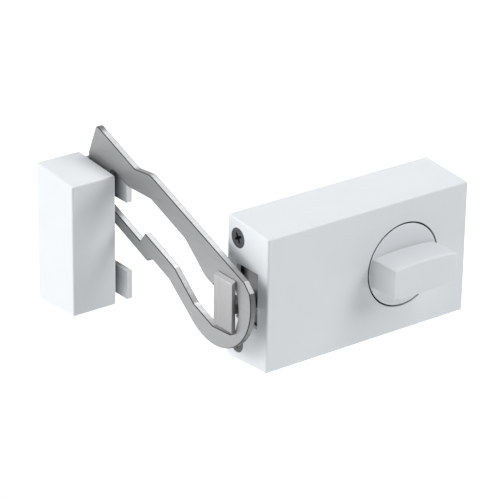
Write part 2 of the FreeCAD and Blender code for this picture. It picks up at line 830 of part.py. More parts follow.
def build_knob():
    """Flush round face with a barrel-shaped grip, and behind it a flange and a hub."""
    rise = (size("grip_mid_height") - size("grip_end_height")) / 2
    half_length = size("grip_length") / 2 - size("grip_end_bulge")
    half_end = size("grip_end_height") / 2
    bulge = size("grip_end_bulge")
    long_radius = (half_length * half_length + rise * rise) / (rise * 2)
    end_radius = (half_end * half_end + bulge * bulge) / (bulge * 2)
    body = doc.addObject("PartDesign::Body", "knob_front")
    round_face = new_sketch(body, "knob_circle", "XZ_Plane")
    draw_circle(round_face, size("knob_radius"), ZERO, ZERO)
    face_back = wall + size("knob_back_clearance")
    pad(body, round_face, "knob_face", face_back, backwards=True)
    grip_sketch = new_sketch(body, "grip_outline", "XZ_Plane")
    corners = [(-half_length, -half_end), (half_length, -half_end),
               (half_length, half_end), (-half_length, half_end)]
    draw_loop(grip_sketch, corners, {0: (long_radius, True), 1: (end_radius, True),
                                     2: (long_radius, True), 3: (end_radius, True)})
    grip = pad(body, grip_sketch, "knob_grip", size("grip_reach"))
    half_reach = plain(size("grip_reach")) / 2

    def standing(edge):
        heights = [end.y for end in ends_of(edge)]
        return max(heights) - min(heights) > half_reach

    def in_front(edge):
        return all(end.y < -half_reach for end in ends_of(edge))

    corners_done = soften_edges(body, grip, "Fillet", "grip_corners", size("grip_corner_round"), standing)
    soften_edges(body, corners_done, "Chamfer", "grip_rim", size("grip_front_edge"), in_front)
    flange_back = face_back + size("flange_thickness")
    hub_back = flange_back + size("hub_length")
    flange = rod("knob_flange", "y", face_back, flange_back, size("flange_radius"), ZERO, ZERO)
    hub = rod("knob_hub", "y", flange_back, hub_back, size("hub_radius"), ZERO, ZERO)
    bore = rod("knob_bore", "y", size("spindle_start"), hub_back + wall, size("spindle_radius"), ZERO, ZERO)
    pin_hole = rod("knob_pin_hole", "x", -size("hub_radius"), size("hub_radius"),
                   size("knob_pin_radius"), size("knob_pin_depth"), ZERO)
    knob_origin = (case_origin[0] + knob_x, case_origin[1], knob_z)
    node(cut("knob_piece", fuse("knob_blank", [body, flange, hub]), [bore, pin_hole]), "knob", knob_origin)

    spindle = rod("spindle_rod", "y", size("spindle_start"), size("spindle_end"),
                  size("spindle_radius"), ZERO, ZERO)
    cross = rod("spindle_pin_hole", "x", -size("hub_radius"), size("hub_radius"),
                size("knob_pin_radius"), size("knob_pin_depth"), ZERO)
    node(cut("spindle_piece", spindle, [cross]), "knob_spindle", knob_origin)
    pin = rod("knob_pin_rod", "x", knob_origin[0] - size("hub_radius"), knob_origin[0] + size("hub_radius"),
              size("knob_pin_radius"), knob_origin[1] + size("knob_pin_depth"), knob_z)
    node(pin, "knob_pin")

    clip_back = size("bearing_front") - size("pinion_clearance")
    clip_front = clip_back - size("clip_thickness")
    ring = rod("clip_ring", "y", clip_front, clip_back, size("clip_radius"), ZERO, ZERO)
    hole = rod("clip_hole", "y", clip_front, clip_back, size("spindle_radius"), ZERO, ZERO)
    node(cut("clip_piece", ring, [hole]), "spindle_clip", knob_origin)


# Strike box

def build_strike_cover():
    """The white cover of the strike, open behind, with a mouth for the bolt's head."""
    front = -depth
    slack = size("slot_clearance")
    bolt_from_front = front + bolt_y
    tools = [
        drafted_room("strike_room", -half_strike, half_strike, front, ZERO),
        box("strike_mouth",
            (half_strike - wall * 2, bolt_from_front - half_bolt_width - slack, -(half_bolt_height + slack)),
            (half_strike + wall, bolt_from_front + half_bolt_width + slack, half_bolt_height + slack)),
    ]
    for level, low, high in bridges():
        tools.append(box("bridge_notch_" + level,
                         (half_strike - wall * 2, -(size("plate_thickness") + gap), low - gap),
                         (half_strike + wall, wall, high + gap)))
    tools += sunk_hole("strike", "z", strike_seat, 1, ZERO, -size("strike_screw_depth"))
    tools.append(rod("strike_recess", "z", strike_seat - wall, strike_seat,
                     size("screw_head_radius"), ZERO, -size("strike_screw_depth")))
    outer = drafted_box("strike_box", -half_strike, half_strike, front, ZERO)
    node(cut("strike_shell", outer, tools), "strike_cover", strike_origin)


strike_seat = draft * size("strike_screw_depth") - half_back + size("strike_screw_recess")


def bridges():
    """The two stretches of height where the strike's plate runs on to its tabs."""
    return (("upper", size("tab_inner_height"), strike_reach),
            ("lower", -strike_reach, -size("lower_bridge_height")))


def build_strike_base():
    """The bent steel plate on the frame: a sheet behind the cover and two tabs beside the bar."""
    thick = size("plate_thickness")
    inner = size("bend_radius")
    outer = inner + thick
    left = -(half_strike - wall - gap)
    body = doc.addObject("PartDesign::Body", "strike_angle")
    profile = new_sketch(body, "angle_profile", "XY_Plane")
    points = [
        (left, ZERO),
        (left, -thick),
        (tab_left - inner, -thick),
        (tab_left, -outer),
        (tab_left, -depth),
        (tab_right, -depth),
        (tab_right, -outer),
        (tab_right - outer, ZERO),
    ]
    draw_loop(profile, points, {2: (inner, False), 6: (outer, True)})
    pad(body, profile, "angle_pad", strike_reach * 2)
    place(body, ZERO, ZERO, -strike_reach)
    middle = size("tab_inner_height")
    edge = half_strike - wall - gap
    tools = [
        box("tab_window", (edge, -(depth + wall), -middle), (tab_right + wall, wall, middle)),
        box("lower_relief", (edge, -(outer + gap), -size("lower_bridge_height")),
            (tab_left - gap, wall, -middle)),
    ]
    for sign in (-0.5, 0.5):
        tools.append(rod("frame_hole", "y", -(thick + wall), wall, size("frame_hole_radius"),
                         ZERO, size("frame_hole_spacing") * sign))
    tools.append(rod("pivot_hole", "x", tab_left - wall, tab_right + wall,
                     size("pin_radius"), pivot_y, pivot_z))
    ear = box("strike_ear",
              (-(size("strike_ear_width") / 2), -size("strike_ear_depth"), -size("strike_ear_height")),
              (size("strike_ear_width") / 2, -(thick / 2),
               size("strike_ear_thickness") - size("strike_ear_height")))
    tap_end = size("strike_ear_thickness") * 2 - size("strike_ear_height")
    tools.append(rod("strike_tap", "z", strike_seat, tap_end,
                     size("screw_shank_radius"), ZERO, -size("strike_screw_depth")))
    blank = fuse("strike_blank", [body, ear])
    node(cut("strike_plate", blank, tools), "strike_base", strike_origin)


def build_pivot():
    """The bar's pivot: a headed pin in the upper tab, its clip and the friction washer."""
    radius = size("pin_radius")
    head_right = bar_left - size("pin_head_clearance")
    head = rod("pin_head", "x", head_right - size("pin_head_thickness"), head_right,
               size("pin_head_radius"), pivot_y, pivot_z)
    shank = rod("pin_shank", "x", head_right - size("pin_head_thickness") / 2,
                tab_right + size("pin_tail"), radius, pivot_y, pivot_z)
    node(fuse("pin_piece", [head, shank]), "pivot_pin", strike_origin)

    clip_end = tab_right + size("pin_clip_thickness")
    ring = rod("pin_clip_ring", "x", tab_right, clip_end, size("pin_clip_radius"), pivot_y, pivot_z)
    hole = rod("pin_clip_hole", "x", tab_right, clip_end, radius, pivot_y, pivot_z)
    node(cut("pin_clip_piece", ring, [hole]), "pivot_clip", strike_origin)

    washer_start = bar_left + size("bar_thickness") + size("washer_clearance")
    disc = rod("washer_disc", "x", washer_start, tab_left, size("washer_radius"), pivot_y, pivot_z)
    bore = rod("washer_bore", "x", washer_start, tab_left, radius, pivot_y, pivot_z)
    node(cut("washer_piece", disc, [bore]), "pivot_washer", strike_origin)


# Limiter bar, which swings about X at the pivot

def bar_points(pairs):
    """Outline points of the bar: along it is minus Y, across it is Z."""
    return [(-along, up) for along, up in pairs]


def bar_outline():
    """The bar's cranked outer form with its round lobe, and the sides that are arcs."""
    radius = size("lobe_radius")
    rise = size("bar_top") - size("lobe_up")
    shoulder = size("lobe_along") + (radius * radius - rise * rise).root()
    foot = -size("lobe_foot_angle")
    pairs = [
        (-size("bar_root_left"), size("bar_root_top")),
        (size("bar_crank_start"), size("bar_root_top")),
        (size("bar_crank_end"), size("bar_top")),
        (shoulder, size("bar_top")),
        (size("lobe_along") + radius * foot.cosine(), size("lobe_up") + radius * foot.sine()),
        (size("bar_waist_start"), -size("bar_waist_bottom")),
        (size("bar_waist_end"), -size("bar_waist_bottom")),
        (size("bar_bump_end"), -size("bar_root_bottom")),
        (size("bar_sole_end"), -size("bar_root_bottom")),
        (size("bar_sole_right"), -size("bar_sole_bottom")),
        (-size("bar_toe_left"), -size("bar_toe_bottom")),
        (-size("bar_heel_left"), size("bar_heel_top")),
    ]
    return bar_points(pairs), {3: (radius, True), 9: (size("bar_toe_radius"), True)}


def slot_outline():
    """The slot: root, raised middle, ledge, and the pocket that traps the bolt's neck."""
    pairs = [
        (size("slot_left"), size("slot_root_top")),
        (size("slot_crank_start"), size("slot_root_top")),
        (size("slot_crank_end"), size("slot_mid_top")),
        (size("slot_drop_start"), size("slot_mid_top")),
        (size("slot_drop_end"), size("slot_ledge_top")),
        (size("slot_ledge_end"), size("slot_ledge_top")),
        (size("pocket_start"), size("pocket_start_top")),
        (size("pocket_peak"), size("pocket_top")),
        (size("pocket_right"), size("pocket_right_top")),
        (size("pocket_right"), size("pocket_right_low")),
        (size("pocket_foot"), size("pocket_foot_up")),
        (size("slot_low_end"), -size("slot_root_bottom")),
        (size("slot_low_drop_end"), -size("slot_root_bottom")),
        (size("slot_low_drop_start"), size("slot_mid_bottom")),
        (size("slot_step_end"), size("slot_mid_bottom")),
        (size("slot_step_start"), -size("slot_root_bottom")),
        (size("slot_left"), -size("slot_root_bottom")),
    ]
    return bar_points(pairs), {7: (size("pocket_radius"), True)}


def build_bar():
    """The flat bar with its long cranked slot, and the bush in its pivot hole."""
    thick = size("bar_thickness")
    outer, outer_arcs = bar_outline()
    inner, inner_arcs = slot_outline()
    body = doc.addObject("PartDesign::Body", "bar_body")
    sketch = new_sketch(body, "bar_outline", "YZ_Plane")
    draw_loop(sketch, outer, outer_arcs)
    draw_loop(sketch, inner, inner_arcs)
    draw_circle(sketch, size("bush_radius"), ZERO, ZERO)
    feature = pad(body, sketch, "bar_plate", thick)
    slot_cranks = [inner[1], inner[2], inner[3], inner[4], inner[12], inner[13]]
    for kind, name, reach, corners in (
        ("Fillet", "bar_peak", "peak_round", [outer[0], outer[11]]),
        ("Fillet", "bar_cranks", "crank_round", [outer[1], outer[2], outer[5]]),
        ("Chamfer", "bar_shoulder", "lobe_facet", [outer[3]]),
        ("Fillet", "bar_bump", "bump_round", [outer[6], outer[7]]),
        ("Fillet", "slot_ends", "slot_round", [inner[0], inner[16]]),
        ("Fillet", "slot_crank_rounds", "slot_crank_round", slot_cranks),
        ("Fillet", "slot_pocket", "pocket_round", [inner[6], inner[10]]),
    ):
        feature = soften_edges(body, feature, kind, name, size(reach), on_corner(corners))
    turn(body, (1, 0, 0), plain(size("bar_angle")))
    bind(body, "Placement.Rotation.Angle", size("bar_angle"))
    node(body, "guard_bar", pivot_origin)

    ring = rod("bush_ring", "x", ZERO, thick, size("bush_radius"), ZERO, ZERO)
    hole = rod("bush_hole", "x", ZERO, thick, size("pin_radius") + size("running_clearance"), ZERO, ZERO)
    node(cut("bush_piece", ring, [hole]), "bar_bush", pivot_origin)


build_case_cover()
build_base_plate()
for screw_name, screw_face, screw_inward, screw_z in case_screws():
    build_screw("case_screw_" + screw_name, case_origin, "x", screw_face, screw_inward,
                screw_y, screw_z)
build_bolt_guide()
build_spindle_bearing()
build_bolt()
build_rack()
build_pinion()
build_knob()
build_strike_cover()
build_strike_base()
build_screw("strike_screw", strike_origin, "z", strike_seat, 1, ZERO, -size("strike_screw_depth"))
build_pivot()
build_bar()
doc.recompute()

# Every object is sound before anything is written
for item in doc.Objects:
    if "Invalid" in item.State or "Error" in item.State:
        raise RuntimeError(item.Name + " failed: " + str(item.State))
for item in nodes:
    if item.Shape.isNull() or not item.Shape.isValid():
        raise RuntimeError(item.Label + " has no sound shape")
    if len(item.Shape.Solids) != 1:
        raise RuntimeError(item.Label + " has " + str(len(item.Shape.Solids)) + " solids")

os.makedirs("parts", exist_ok=True)
for item in nodes:
    item.Shape.exportStep("parts/" + item.Label + ".step")
    print(item.Label, round(item.Shape.Volume, 1))
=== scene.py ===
"""The looks of a rim lock with a limiter bar, in the pose where the bar holds the door ajar.

Each operator makes or dresses one group of the lock's pieces. All sizes are in metres.
"""

import math

import bmesh
import bpy
import numpy as np
from bpy_extras.mesh_utils import edge_loops_from_edges
from mathutils import Matrix, Vector
from mathutils.geometry import tessellate_polygon


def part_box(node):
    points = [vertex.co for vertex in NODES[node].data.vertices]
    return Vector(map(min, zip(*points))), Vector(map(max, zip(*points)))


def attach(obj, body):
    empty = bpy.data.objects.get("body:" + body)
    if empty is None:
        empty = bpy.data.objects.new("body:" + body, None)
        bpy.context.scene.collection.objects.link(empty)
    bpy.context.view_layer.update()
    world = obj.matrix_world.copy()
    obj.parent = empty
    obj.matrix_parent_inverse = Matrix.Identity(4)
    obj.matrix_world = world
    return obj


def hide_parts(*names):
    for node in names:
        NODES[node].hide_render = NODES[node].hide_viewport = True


bl_info = {
    "name": "Rim lock with limiter bar",
    "version": (1, 0, 0),
    "blender": (4, 5, 0),
    "location": "3D View > Sidebar > Rim Lock",
    "description": "Builds and dresses the pieces of a rim lock with a limiter bar",
    "category": "Object",
}

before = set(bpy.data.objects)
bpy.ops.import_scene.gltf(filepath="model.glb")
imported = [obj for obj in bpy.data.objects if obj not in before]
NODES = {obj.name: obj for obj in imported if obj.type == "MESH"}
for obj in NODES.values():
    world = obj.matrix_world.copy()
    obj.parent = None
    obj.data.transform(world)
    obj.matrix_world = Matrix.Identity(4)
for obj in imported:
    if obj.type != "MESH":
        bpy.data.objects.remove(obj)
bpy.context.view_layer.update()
MM = 0.001
MERGE_DISTANCE = 1e-7


class LockFinishes(bpy.types.PropertyGroup):
    """Colours and gloss of the lock's finishes."""

    paint_colour: bpy.props.FloatVectorProperty(
        name="White paint",
        description="Colour of the painted covers, knob and strike plate",
        subtype="COLOR",
        default=(0.808, 0.836, 0.86),
    )
    paint_gloss: bpy.props.FloatProperty(
        name="Paint roughness",
        description="Roughness of the paint",
        subtype="FACTOR",
        min=0.0,
        max=1.0,
        default=0.34,
    )
    # Strength of the painted shade in the corner round the knob's grip
    corner_shade: bpy.props.FloatProperty(
        name="Corner shade",
        description="How dark the paint is in the corner round the grip",
        subtype="FACTOR",
        min=0.0,
        max=1.0,
        default=0.18,
    )
    bar_colour: bpy.props.FloatVectorProperty(
        name="Bar steel",
        description="Colour of the brushed limiter bar",
        subtype="COLOR",
        default=(0.36, 0.365, 0.37),
    )
    rim_colour: bpy.props.FloatVectorProperty(
        name="Stamped rim",
        description="Colour of the bar's stamped rims where they are brightest",
        subtype="COLOR",
        default=(0.74, 0.742, 0.75),
    )
    # A painted reflection: the dark line along the bar's rounded edges
    edge_shade_colour: bpy.props.FloatVectorProperty(
        name="Painted edge shade",
        description="Colour of the bar's long rounded edges",
        subtype="COLOR",
        default=(0.045, 0.045, 0.047),
    )
    bolt_colour: bpy.props.FloatVectorProperty(
        name="Bolt steel",
        description="Colour of the plated bolt",
        subtype="COLOR",
        default=(0.42, 0.42, 0.425),
    )
    # The guide's dark colour is partly painted shade for the inside of the bolt's slot
    guide_colour: bpy.props.FloatVectorProperty(
        name="Guide steel",
        description="Colour of the oiled steel guide behind the bolt's slot",
        subtype="COLOR",
        default=(0.13, 0.13, 0.132),
    )
    plate_colour: bpy.props.FloatVectorProperty(
        name="Zinc plate",
        description="Colour of the zinc-plated inner pieces",
        subtype="COLOR",
        default=(0.5, 0.51, 0.52),
    )
    brass_colour: bpy.props.FloatVectorProperty(
        name="Bush brass",
        description="Colour of the plain bushes",
        subtype="COLOR",
        default=(0.6, 0.45, 0.2),
    )
    screw_colour: bpy.props.FloatVectorProperty(
        name="Screw black",
        description="Colour of the blackened screws",
        subtype="COLOR",
        default=(0.1, 0.102, 0.105),
    )
    # Painted shade: the black of the knob's gap and of the screws' recesses
    gap_colour: bpy.props.FloatVectorProperty(
        name="Gap black",
        description="Colour of the knob's moulded side and flange, seen as a black line round its face",
        subtype="COLOR",
        default=(0.008, 0.008, 0.008),
    )


class LockDetails(bpy.types.PropertyGroup):
    """Small sizes that the solids leave to the looks."""

    bar_edge: bpy.props.FloatProperty(
        name="Bar edge",
        description="Radius on the bar's long edges",
        subtype="DISTANCE",
        default=0.34 * MM,
    )
    recess_reach: bpy.props.FloatProperty(
        name="Recess reach",
        description="Half length of the screws' cross recess",
        subtype="DISTANCE",
        default=2.5 * MM,
    )
    recess_depth: bpy.props.FloatProperty(
        name="Recess depth",
        description="Depth of the screws' cross recess",
        subtype="DISTANCE",
        default=1.9 * MM,
    )
    thread_pitch: bpy.props.FloatProperty(
        name="Thread pitch",
        description="Pitch of the screws' thread",
        subtype="DISTANCE",
        default=1.3 * MM,
    )
    grip_half_length: bpy.props.FloatProperty(
        name="Grip half length",
        description="Half the length of the grip at its corners",
        subtype="DISTANCE",
        default=17.3 * MM,
    )
    grip_half_height: bpy.props.FloatProperty(
        name="Grip half height",
        description="Half the height of the grip at its corners",
        subtype="DISTANCE",
        default=6.6 * MM,
    )
    grip_reach: bpy.props.FloatProperty(
        name="Grip reach",
        description="How far the grip stands out of the face",
        subtype="DISTANCE",
        default=15.2 * MM,
    )
    grip_corner: bpy.props.FloatProperty(
        name="Grip corner",
        description="Radius of the grip's standing corners",
        subtype="DISTANCE",
        default=0.7 * MM,
    )
    grip_edge: bpy.props.FloatProperty(
        name="Grip edge",
        description="Radius round the front of the grip",
        subtype="DISTANCE",
        default=0.6 * MM,
    )
    grip_root: bpy.props.FloatProperty(
        name="Grip root",
        description="Radius where the grip meets the round face",
        subtype="DISTANCE",
        default=0.2 * MM,
    )
    # How far the painted shade spreads from the corner round the knob's grip
    corner_shade_reach: bpy.props.FloatProperty(
        name="Grime reach",
        description="How far the grime spreads from the corner round the grip",
        subtype="DISTANCE",
        default=1.2 * MM,
    )
    eased_edge: bpy.props.FloatProperty(
        name="Eased edge",
        description="Width of the bevel on the bolt's and the strike plate's edges",
        subtype="DISTANCE",
        default=0.22 * MM,
    )
    side_swell: bpy.props.FloatProperty(
        name="Side swell",
        description="How far the grip's long sides bulge",
        subtype="DISTANCE",
        default=1.1 * MM,
    )
    end_swell: bpy.props.FloatProperty(
        name="End swell",
        description="How far the grip's ends bulge",
        subtype="DISTANCE",
        default=0.5 * MM,
    )
    face_radius: bpy.props.FloatProperty(
        name="Face radius",
        description="Radius of the knob's round face",
        subtype="DISTANCE",
        default=19.1 * MM,
    )
    face_lip: bpy.props.FloatProperty(
        name="Face lip",
        description="Radius on the edge of the round face",
        subtype="DISTANCE",
        default=0.25 * MM,
    )
    face_back: bpy.props.FloatProperty(
        name="Face back",
        description="Depth at which the flange starts behind the round face",
        subtype="DISTANCE",
        default=2.3 * MM,
    )
    flange_thickness: bpy.props.FloatProperty(
        name="Flange thickness",
        description="Thickness of the flange that keeps the knob in the cover",
        subtype="DISTANCE",
        default=1.6 * MM,
    )
    hub_radius: bpy.props.FloatProperty(
        name="Hub radius",
        description="Radius of the knob's hub",
        subtype="DISTANCE",
        default=6.5 * MM,
    )
    bore_radius: bpy.props.FloatProperty(
        name="Bore radius",
        description="Radius of the spindle's bore in the hub",
        subtype="DISTANCE",
        default=2.5 * MM,
    )
    bore_start: bpy.props.FloatProperty(
        name="Bore start",
        description="Depth of the bottom of the spindle's bore behind the face",
        subtype="DISTANCE",
        default=3.5 * MM,
    )


class LockStudio(bpy.types.PropertyGroup):
    """Camera and light."""

    azimuth: bpy.props.FloatProperty(
        name="Azimuth",
        description="How far the camera stands to the left of the lock's front",
        subtype="ANGLE",
        default=math.radians(37.197),
    )
    elevation: bpy.props.FloatProperty(
        name="Elevation",
        description="How far the camera looks down",
        subtype="ANGLE",
        default=math.radians(24.462),
    )
    roll: bpy.props.FloatProperty(
        name="Roll",
        description="Turn of the camera about its own line of sight",
        subtype="ANGLE",
        default=math.radians(0.861),
    )
    distance: bpy.props.FloatProperty(
        name="Distance",
        description="Distance from the camera to the point it looks at",
        subtype="DISTANCE",
        default=1.16157,
    )
    target: bpy.props.FloatVectorProperty(
        name="Target",
        description="Point that the camera looks at",
        subtype="TRANSLATION",
        default=(0.014954, -0.1217, 0.029403),
    )
    lens: bpy.props.FloatProperty(
        name="Lens",
        description="Focal length on a 36 mm wide film, in millimetres",
        default=201.414,
    )
    sky_light: bpy.props.FloatProperty(
        name="Sky light",
        description="Strength of the even light from all round",
        default=0.07,
    )
    key_light: bpy.props.FloatProperty(
        name="Key light",
        description="Strength of the soft light from the left, behind and above",
        default=1.95,
    )
    side_light: bpy.props.FloatProperty(
        name="Side light",
        description="Strength of the low soft light from the left",
        default=0.75,
    )
    fill_light: bpy.props.FloatProperty(
        name="Fill light",
        description="Strength of the soft light from the front right",
        default=1.1,
    )
    top_light: bpy.props.FloatProperty(
        name="Top light",
        description="Strength of the soft light from above, a little to the right",
        default=1.3,
    )
    floor_drop: bpy.props.FloatProperty(
        name="Floor drop",
        description="Height of the floor below the strike's middle",
        subtype="DISTANCE",
        default=0.12,
    )


# Materials

# The slope of the bar's length, along which it is brushed
BAR_SLOPE = math.radians(20.2)

# Where a finish is painted lighter or darker, as painted light and shade: (place in metres, share of its
# colour), in rising order
# Painted shade on the bar's faces, darker upwards towards the pivot
BAR_SHADE_UP = ((0.004, 1.0), (0.018, 0.9), (0.03, 0.83), (0.045, 0.85))
# Painted shade on the bolt, darker inside the case's slot
BOLT_SHADE_INWARDS = ((0.0145, 1.0), (0.017, 0.72), (0.0245, 0.62), (0.026, 0.5))
# Painted light: the bolt's head is lighter towards its top
BOLT_LIGHT_UP = ((-0.0125, 0.84), (0.0125, 1.06))
# Painted shade on the rim where it nears the case
RIM_SHADE_NEAR_CASE = ((-0.125, 1.0), (-0.1192, 1.0), (-0.1185, 0.45), (-0.112, 0.45), (-0.099, 1.0))
# Painted shade on the rim at the bar's tip
RIM_SHADE_AT_TIP = ((0.0465, 1.0), (0.0475, 0.3))
# Painted shade on the strike's plate, darker deep in the gap beside the cover
PLATE_SHADE_BACKWARDS = ((-0.027, 1.0), (-0.0235, 0.62), (-0.019, 0.12), (-0.01, 0.12), (-0.003, 0.32))

# The same by the way a face looks, as painted light and shade: the Y part of its normal, and its angle
# atan2(z, -y) in degrees
# Painted shade on the bolt's side that faces the front
BOLT_SHADED_SIDE = ((-0.95, 0.75), (-0.5, 1.0))
# Painted light and shade on the rim by the way it faces
RIM_LIGHT_BY_FACING = (
    (-60, 0.3), (-20, 0.32), (0, 0.2), (12, 0.15), (18, 0.18), (24, 0.27), (46, 0.3),
    (51, 0.28), (58, 0.33), (65, 0.72), (76, 0.72), (87, 0.58), (96, 0.33),
)


def new_material(name):
    """An empty node material, its tree, shader and Object coordinates."""
    made = bpy.data.materials.new(name)
    made.use_nodes = True
    tree = made.node_tree
    shader = tree.nodes["Principled BSDF"]
    place = tree.nodes.new("ShaderNodeTexCoord")
    return made, tree, shader, place.outputs["Object"]


def noise(tree, vector, scale, detail=3.0, stretch=(1, 1, 1), turn=(0, 0, 0)):
    """A noise field in the piece's own coordinates, stretched and turned."""
    mapping = tree.nodes.new("ShaderNodeMapping")
    mapping.inputs["Scale"].default_value = stretch
    mapping.inputs["Rotation"].default_value = turn
    tree.links.new(vector, mapping.inputs["Vector"])
    field = tree.nodes.new("ShaderNodeTexNoise")
    field.inputs["Scale"].default_value = scale
    field.inputs["Detail"].default_value = detail
    tree.links.new(mapping.outputs["Vector"], field.inputs["Vector"])
    return field.outputs["Fac"]


def spread(tree, value, low, high):
    """Map a field that runs from about 0.3 to 0.7 to a range."""
    ramp = tree.nodes.new("ShaderNodeMapRange")
    ramp.inputs["From Min"].default_value = 0.3
    ramp.inputs["From Max"].default_value = 0.7
    ramp.inputs["To Min"].default_value = low
    ramp.inputs["To Max"].default_value = high
    tree.links.new(value, ramp.inputs["Value"])
    return ramp.outputs["Result"]


def tint(tree, shader, value, colour, low, high, shares=()):
    """Vary a base colour between two shares of itself, and multiply it by further shares."""
    mix = tree.nodes.new("ShaderNodeMix")
    mix.data_type = "RGBA"
    mix.inputs["A"].default_value = (*[part * low for part in colour], 1)
    mix.inputs["B"].default_value = (*[part * high for part in colour], 1)
    tree.links.new(spread(tree, value, 0.0, 1.0), mix.inputs["Factor"])
    result = mix.outputs["Result"]
    for share in shares:
        product = tree.nodes.new("ShaderNodeMix")
        product.data_type = "RGBA"
        product.blend_type = "MULTIPLY"
        product.inputs["Factor"].default_value = 1
        tree.links.new(result, product.inputs["A"])
        tree.links.new(share, product.inputs["B"])
        result = product.outputs["Result"]
    tree.links.new(result, shader.inputs["Base Color"])


def stepped(tree, value, stops):
    """A grey that follows a value through (value, grey) stops, in rising order."""
    low, high = stops[0][0], stops[-1][0]
    place = tree.nodes.new("ShaderNodeMapRange")
    place.inputs["From Min"].default_value = low
    place.inputs["From Max"].default_value = high
    tree.links.new(value, place.inputs["Value"])
    ramp = tree.nodes.new("ShaderNodeValToRGB")
    tree.links.new(place.outputs["Result"], ramp.inputs["Fac"])
    marks = ramp.color_ramp.elements
    while len(marks) < len(stops):
        marks.new(0.5)
    for mark, (at, grey) in zip(marks, stops):
        mark.position = (at - low) / (high - low)
        mark.color = (grey, grey, grey, 1)
    return ramp.outputs["Color"]


def part_of(tree, vector, name):
    """One component of a vector."""
    split = tree.nodes.new("ShaderNodeSeparateXYZ")
    tree.links.new(vector, split.inputs["Vector"])
    return split.outputs[name]


def worked(tree, operation, *values):
    """The result of a math operation on values, each of them a socket or a number."""
    node = tree.nodes.new("ShaderNodeMath")
    node.operation = operation
    for socket, value in zip(node.inputs, values):
        if isinstance(value, (int, float)):
            socket.default_value = value
        else:
            tree.links.new(value, socket)
    return node.outputs["Value"]


def bump(tree, shader, value, distance, strength):
    """Raise the surface by a field."""
    raised = tree.nodes.new("ShaderNodeBump")
    raised.inputs["Distance"].default_value = distance
    raised.inputs["Strength"].default_value = strength
    tree.links.new(value, raised.inputs["Height"])
    tree.links.new(raised.outputs["Normal"], shader.inputs["Normal"])


def powder_coat(finish):
    """Powder coat: an even white with a fine orange peel, and painted shade in the corner round the knob's
    grip, where a piece carries it.
    """
    made, tree, shader, place = new_material("powder_coat")
    # Painted shade: a point attribute darkens the paint in the corner round the grip
    corner_shade = tree.nodes.new("ShaderNodeAttribute")
    corner_shade.attribute_name = "corner_shade"
    shade_share = stepped(tree, corner_shade.outputs["Fac"], ((0.0, 1.0), (1.0, 1 - finish.corner_shade)))
    tint(tree, shader, noise(tree, place, 45, 2), finish.paint_colour, 0.99, 1.01, (shade_share,))
    gloss = spread(tree, noise(tree, place, 700, 2), finish.paint_gloss - 0.04, finish.paint_gloss + 0.04)
    tree.links.new(gloss, shader.inputs["Roughness"])
    shader.inputs["Specular IOR Level"].default_value = 0.4
    bump(tree, shader, noise(tree, place, 1400, 2), 0.00002, 0.2)
    return made


def brushed_steel(made, tree, shader, streaks, colour, rough, shares=()):
    """Finish a steel brushed along one direction: fine streaks in its colour, gloss and height."""
    tint(tree, shader, streaks, colour, 0.92, 1.07, shares)
    tree.links.new(spread(tree, streaks, rough - 0.05, rough + 0.06), shader.inputs["Roughness"])
    bump(tree, shader, streaks, 0.000012, 0.3)
    return made


def brushed_bar(finish):
    """The bar's flat faces, brushed along its length, with painted shade that darkens them towards the
    pivot.
    """
    made, tree, shader, place = new_material("brushed_bar")
    shader.inputs["Metallic"].default_value = 0.72
    streaks = noise(tree, place, 2600, 3, (1, 0.02, 1), (-BAR_SLOPE, 0, 0))
    # Painted shade, darker towards the pivot
    bar_shade = stepped(tree, part_of(tree, place, "Z"), BAR_SHADE_UP)
    return brushed_steel(made, tree, shader, streaks, finish.bar_colour, 0.44, (bar_shade,))


def brushed_bolt(finish):
    """The bolt, brushed upright on its head, with painted light on the top of its head, painted shade on
    its front side and painted shade inside the case.
    """
    made, tree, shader, place = new_material("brushed_bolt")
    shader.inputs["Metallic"].default_value = 0.9
    streaks = noise(tree, place, 2600, 3, (1, 1, 0.03))
    # Painted shade in the slot, painted light on the head's top, painted shade on the front side
    shares = (
        stepped(tree, part_of(tree, place, "X"), BOLT_SHADE_INWARDS),
        stepped(tree, part_of(tree, place, "Z"), BOLT_LIGHT_UP),
        stepped(tree, part_of(tree, place.node.outputs["Normal"], "Y"), BOLT_SHADED_SIDE),
    )
    return brushed_steel(made, tree, shader, streaks, finish.bolt_colour, 0.36, shares)


def zinc_plate(finish):
    """Zinc plating: a dull silver with soft cloudy patches."""
    made, tree, shader, place = new_material("zinc_plate")
    shader.inputs["Metallic"].default_value = 1.0
    clouds = noise(tree, place, 260, 4)
    tint(tree, shader, clouds, finish.plate_colour, 0.92, 1.07)
    tree.links.new(spread(tree, clouds, 0.36, 0.5), shader.inputs["Roughness"])
    bump(tree, shader, noise(tree, place, 1800, 2), 0.00001, 0.2)
    return made


def turned_brass(finish):
    """Plain turned brass."""
    made, tree, shader, place = new_material("turned_brass")
    shader.inputs["Metallic"].default_value = 1.0
    rings = noise(tree, place, 1500, 2)
    tint(tree, shader, rings, finish.brass_colour, 0.9, 1.08)
    tree.links.new(spread(tree, rings, 0.3, 0.42), shader.inputs["Roughness"])
    return made


